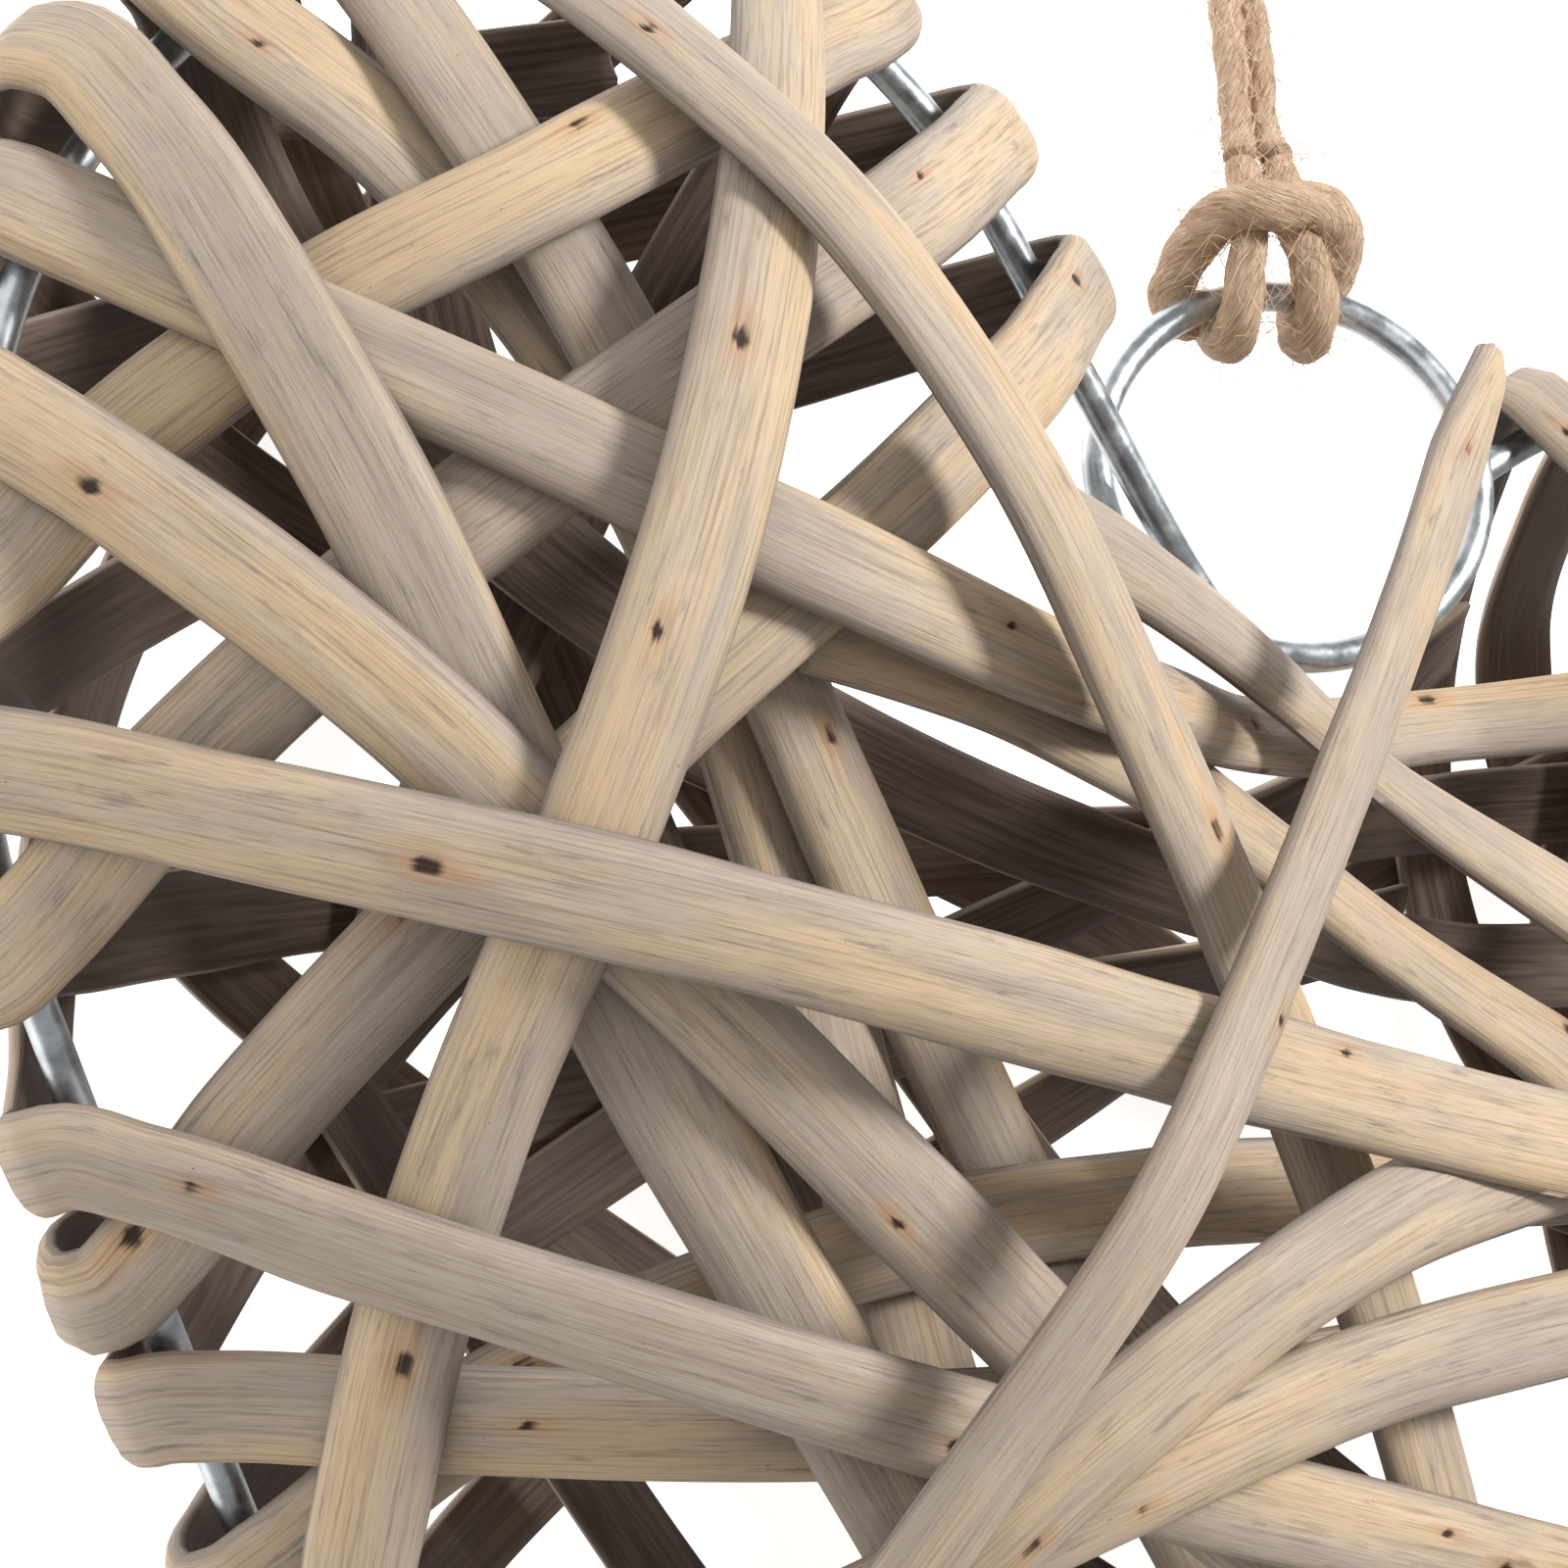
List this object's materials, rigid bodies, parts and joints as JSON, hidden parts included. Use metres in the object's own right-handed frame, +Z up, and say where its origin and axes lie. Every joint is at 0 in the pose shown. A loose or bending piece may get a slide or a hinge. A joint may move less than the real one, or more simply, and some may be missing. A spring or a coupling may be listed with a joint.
{
  "type": "wicker heart",
  "caption": "Open, puffed heart of half-round willow strips wound criss-cross over a bent wire outline, with a wire ring and a jute loop to hang it by.",
  "frame": {"origin": "on the floor under the middle of the lying heart, in the middle of its box without the twine", "axes": "+Z up through the heart's front, +Y from its tip towards its two lobes, +X across it"},
  "size_m": [0.217, 0.2664, 0.0824],
  "materials": {
    "outline_wire": "galvanised, dull and mottled",
    "hanging_ring": "galvanised, a little brighter than the outline wire",
    "willow": "split willow, weathered grey-beige outside and dark brown pith inside, unvarnished",
    "jute": "twisted natural jute, hairy"
  },
  "bodies": {
    "root": {"outline_wire": "outline_wire", "hanging_ring": "hanging_ring", "willow_strip_1": "willow", "willow_strip_2": "willow", "willow_strip_3": "willow", "willow_strip_4": "willow", "willow_strip_5": "willow", "willow_strip_6": "willow", "willow_strip_7": "willow", "twine_hitch": "jute", "jute_twine": "jute"}
  },
  "joints": []
}
